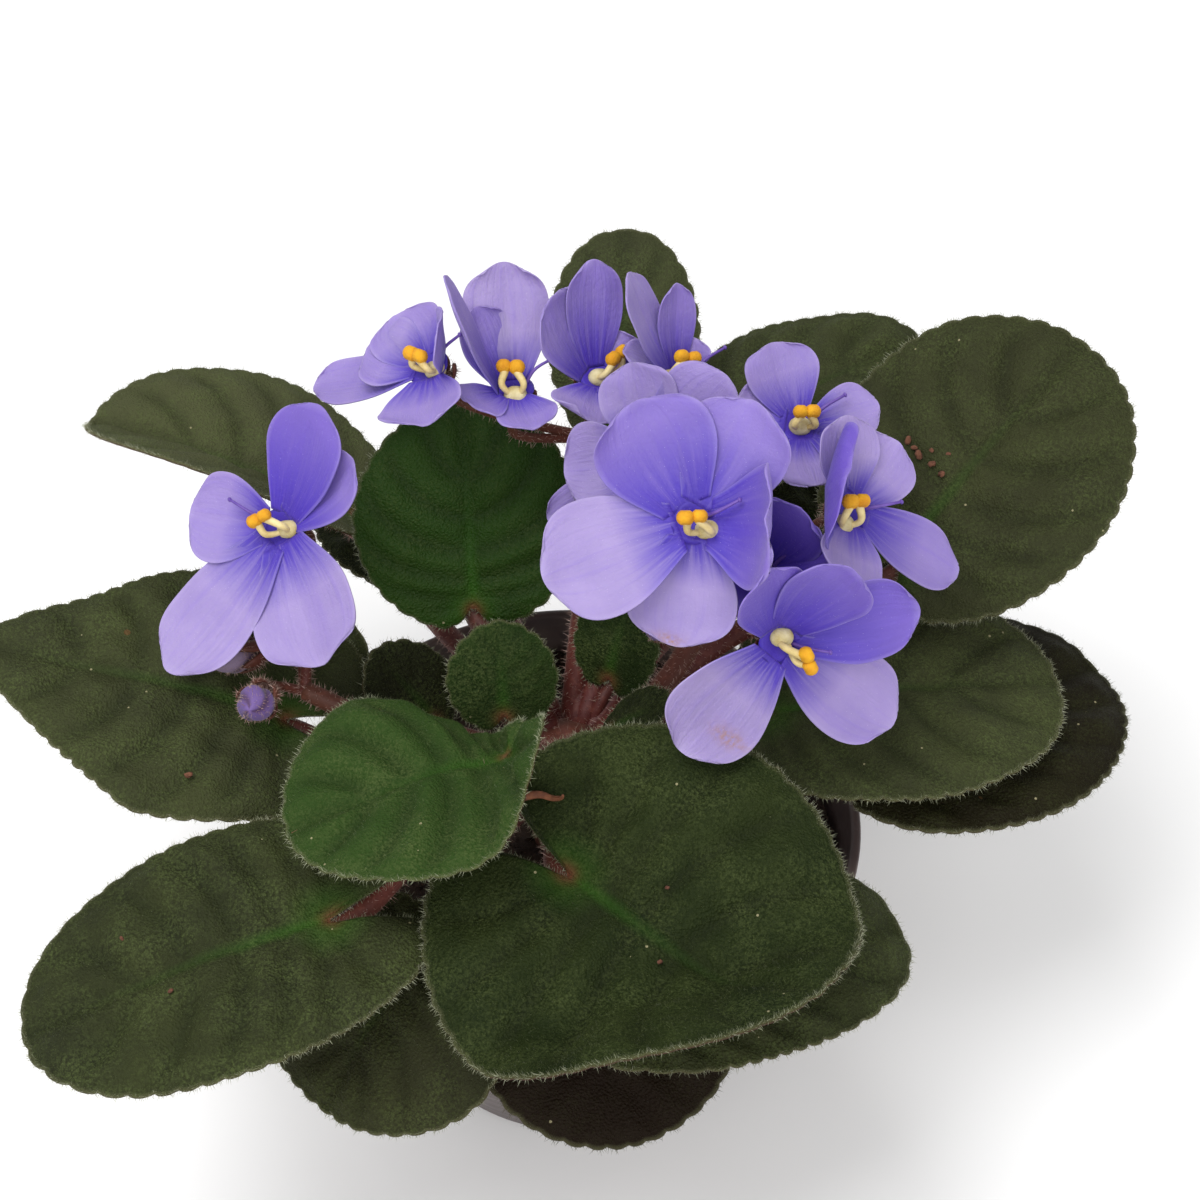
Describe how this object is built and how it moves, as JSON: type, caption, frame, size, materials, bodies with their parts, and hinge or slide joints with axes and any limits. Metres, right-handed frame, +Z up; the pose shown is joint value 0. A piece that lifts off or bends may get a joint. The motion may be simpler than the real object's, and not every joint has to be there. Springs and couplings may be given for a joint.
{
  "type": "potted african violet",
  "caption": "Potted african violet: a rosette of velvety, scallop-edged leaves on red stalks, with sprays of violet-blue blooms and buds, in a squat dark plastic pot of soil.",
  "frame": {"origin": "centre of the flat underside of the pot", "axes": "+Z up, -Y towards the side that the blooms face, +X to the right of someone who looks at the blooms"},
  "size_m": [0.1968, 0.1616, 0.1489],
  "materials": {
    "leaf": "velvety dark green leaf, hairy and quilted, matt",
    "leaf_young": "velvety bright green young leaf, hairy and quilted, matt",
    "stalk": "fleshy red-brown stalk with fine pale hairs",
    "petal": "violet-blue petal with darker veins and a fine sparkle",
    "anther": "powdery bright yellow",
    "bud": "hairy grey-mauve bud",
    "soil": "damp dark potting mix, crumbly",
    "pot": "moulded brown-grey plastic, satin"
  },
  "bodies": {
    "root": {"anthers_back_a": "anther", "anthers_back_b": "anther", "anthers_back_c": "anther", "anthers_back_d": "anther", "anthers_centre": "anther", "anthers_dark": "anther", "anthers_left": "anther", "anthers_mid": "anther", "anthers_right_back": "anther", "anthers_right_high": "anther", "anthers_right_low": "anther", "bud_left_a": "bud", "bud_left_b": "bud", "bud_right": "bud", "crown_stalks": "stalk", "leaf_back": "leaf", "leaf_back_left": "leaf", "leaf_back_right": "leaf", "leaf_back_right_far": "leaf", "leaf_bud_right": "leaf", "leaf_centre_back": "leaf", "leaf_crown_centre": "leaf", "leaf_crown_left": "leaf", "leaf_crown_right": "leaf", "leaf_crown_sliver": "leaf", "leaf_front": "leaf", "leaf_front_left": "leaf", "leaf_left": "leaf", "leaf_low_back": "leaf", "leaf_low_back_left": "leaf", "leaf_low_back_right": "leaf", "leaf_low_front": "leaf", "leaf_low_front_left": "leaf", "leaf_low_front_right": "leaf", "leaf_low_right": "leaf", "leaf_right": "leaf", "leaf_young_folded": "leaf_young", "petals_back_a": "petal", "petals_back_b": "petal", "petals_back_c": "petal", "petals_back_d": "petal", "petals_centre": "petal", "petals_dark": "petal", "petals_left": "petal", "petals_mid": "petal", "petals_right_back": "petal", "petals_right_high": "petal", "petals_right_low": "petal", "pot": "pot", "soil": "soil", "spray_back": "stalk", "spray_left": "stalk", "spray_right": "stalk"}
  },
  "joints": []
}
